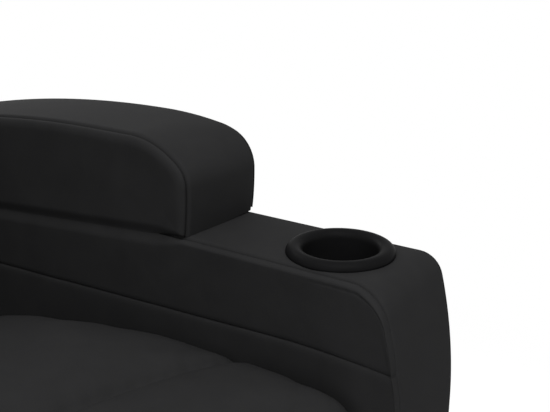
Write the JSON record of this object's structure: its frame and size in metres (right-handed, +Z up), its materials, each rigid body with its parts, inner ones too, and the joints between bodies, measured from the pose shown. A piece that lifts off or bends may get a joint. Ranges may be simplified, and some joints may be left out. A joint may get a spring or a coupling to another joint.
{
  "type": "power recliner",
  "caption": "Padded armchair with low front arm decks holding cup holders, raised arm bolsters, a powered reclining back and a powered fold-out footrest.",
  "frame": {"origin": "on the floor below the middle of the whole chair, with its back upright", "axes": "+Z up, -Y to the front where the sitter faces, +X to the sitter's left"},
  "size_m": [0.776, 0.8954, 1.0304],
  "materials": {
    "upholstery": "matte",
    "cup_plastic": "satin",
    "frame_wood": "raw",
    "black_steel": "satin powder coat",
    "zinc_steel": "zinc plated",
    "screw_aluminium": "satin",
    "motor_plastic": "matte",
    "nylon": "satin",
    "switch_plastic": "satin",
    "rocker_plastic": "gloss",
    "webbing": "woven",
    "foot_plastic": "matte"
  },
  "bodies": {
    "base": {"arm_cover_left": "upholstery", "arm_cover_right": "upholstery", "arm_frame_left": "frame_wood", "arm_frame_right": "frame_wood", "bolster_cover_left": "upholstery", "bolster_cover_right": "upholstery", "bolster_cores": "frame_wood", "cup_holder_left": "cup_plastic", "cup_holder_right": "cup_plastic", "feet": "foot_plastic", "base_rails": "black_steel", "front_cross_tube": "black_steel", "rear_cross_tube": "black_steel", "rail_spacers": "black_steel", "arm_bolts": "zinc_steel", "control_box": "motor_plastic", "power_inlet": "motor_plastic", "switch_housing": "switch_plastic"},
    "seat": {"seat_cushion": "upholstery", "seat_side_rails": "frame_wood", "seat_front_rail": "frame_wood", "seat_rear_rail": "frame_wood", "seat_springs": "zinc_steel", "side_plate_left": "black_steel", "side_plate_right": "black_steel", "glide_shoes": "nylon", "seat_mid_tube": "black_steel", "seat_bolts": "zinc_steel", "footrest_motor": "motor_plastic", "footrest_screw_rail": "screw_aluminium", "back_motor": "motor_plastic", "back_screw_rail": "screw_aluminium", "control_link_pins": "zinc_steel"},
    "back": {"back_cushion_lower": "upholstery", "back_cushion_middle": "upholstery", "back_cushion_head": "upholstery", "back_shell": "upholstery", "back_stiles": "frame_wood", "back_rails": "frame_wood", "back_webbing": "webbing", "back_brackets": "black_steel", "back_shaft": "black_steel"},
    "drive": {"drive_links": "zinc_steel", "footrest_shaft": "black_steel", "drive_link_pins": "zinc_steel"},
    "main_arms": {"main_links": "zinc_steel", "main_link_pins": "zinc_steel"},
    "control_arms": {"control_links": "zinc_steel"},
    "guide_arms": {"guide_links": "zinc_steel"},
    "footrest": {"footrest_pad": "upholstery", "footrest_board": "frame_wood", "ottoman_brackets": "zinc_steel", "ottoman_pins": "zinc_steel"},
    "footrest_nut": {"footrest_slider": "nylon"},
    "back_nut": {"back_slider": "nylon"},
    "footrest_switch": {"footrest_rocker": "rocker_plastic"},
    "back_switch": {"back_rocker": "rocker_plastic"}
  },
  "joints": [
    {"name": "seat_glide", "type": "slide", "parent": "base", "child": "seat", "axis": [0, -1, 0], "range_m": [0, 0.07]},
    {"name": "back_recline", "type": "hinge", "parent": "seat", "child": "back", "pos_m": [0, 0.19731, 0.4], "axis": [-1, 0, 0], "range_deg": [0, 36]},
    {"name": "back_drive", "type": "slide", "parent": "seat", "child": "back_nut", "axis": [0, -1, 0], "range_m": [0, 0.07277]},
    {"name": "footrest_extend", "type": "hinge", "parent": "seat", "child": "drive", "pos_m": [0, -0.20069, 0.28], "axis": [-1, 0, 0], "range_deg": [0, 84]},
    {"name": "main_arm_turn", "type": "hinge", "parent": "drive", "child": "main_arms", "pos_m": [0, -0.17147, 0.07204], "axis": [-1, 0, 0], "range_deg": [-84, 0]},
    {"name": "control_arm_turn", "type": "hinge", "parent": "seat", "child": "control_arms", "pos_m": [0, -0.23749, 0.31385], "axis": [-1, 0, 0], "range_deg": [0, 84]},
    {"name": "guide_arm_turn", "type": "hinge", "parent": "drive", "child": "guide_arms", "pos_m": [0, -0.17773, 0.11661], "axis": [-1, 0, 0], "range_deg": [-84, 0]},
    {"name": "footrest_turn", "type": "hinge", "parent": "main_arms", "child": "footrest", "pos_m": [0, -0.34969, 0.236], "axis": [-1, 0, 0], "range_deg": [0, 84]},
    {"name": "footrest_drive", "type": "slide", "parent": "seat", "child": "footrest_nut", "axis": [0, -1, 0], "range_m": [0, 0.11988]},
    {"name": "footrest_rocker_press", "type": "hinge", "parent": "base", "child": "footrest_switch", "pos_m": [-0.3795, -0.30969, 0.45], "axis": [0, 1, 0], "range_deg": [-8, 8], "stiffness_Nm_per_rad": 0.4},
    {"name": "back_rocker_press", "type": "hinge", "parent": "base", "child": "back_switch", "pos_m": [-0.3795, -0.28169, 0.45], "axis": [0, 1, 0], "range_deg": [-8, 8], "stiffness_Nm_per_rad": 0.4}
  ],
  "couplings": [
    {"joint": "seat_glide", "follows": "back_recline", "m_per_rad": 0.11141},
    {"joint": "back_drive", "follows": "back_recline", "m_per_rad": 0.11581},
    {"joint": "main_arm_turn", "follows": "footrest_extend", "ratio": -1},
    {"joint": "control_arm_turn", "follows": "footrest_extend", "ratio": 1},
    {"joint": "guide_arm_turn", "follows": "footrest_extend", "ratio": -1},
    {"joint": "footrest_turn", "follows": "footrest_extend", "ratio": 1},
    {"joint": "footrest_drive", "follows": "footrest_extend", "m_per_rad": 0.08176}
  ]
}
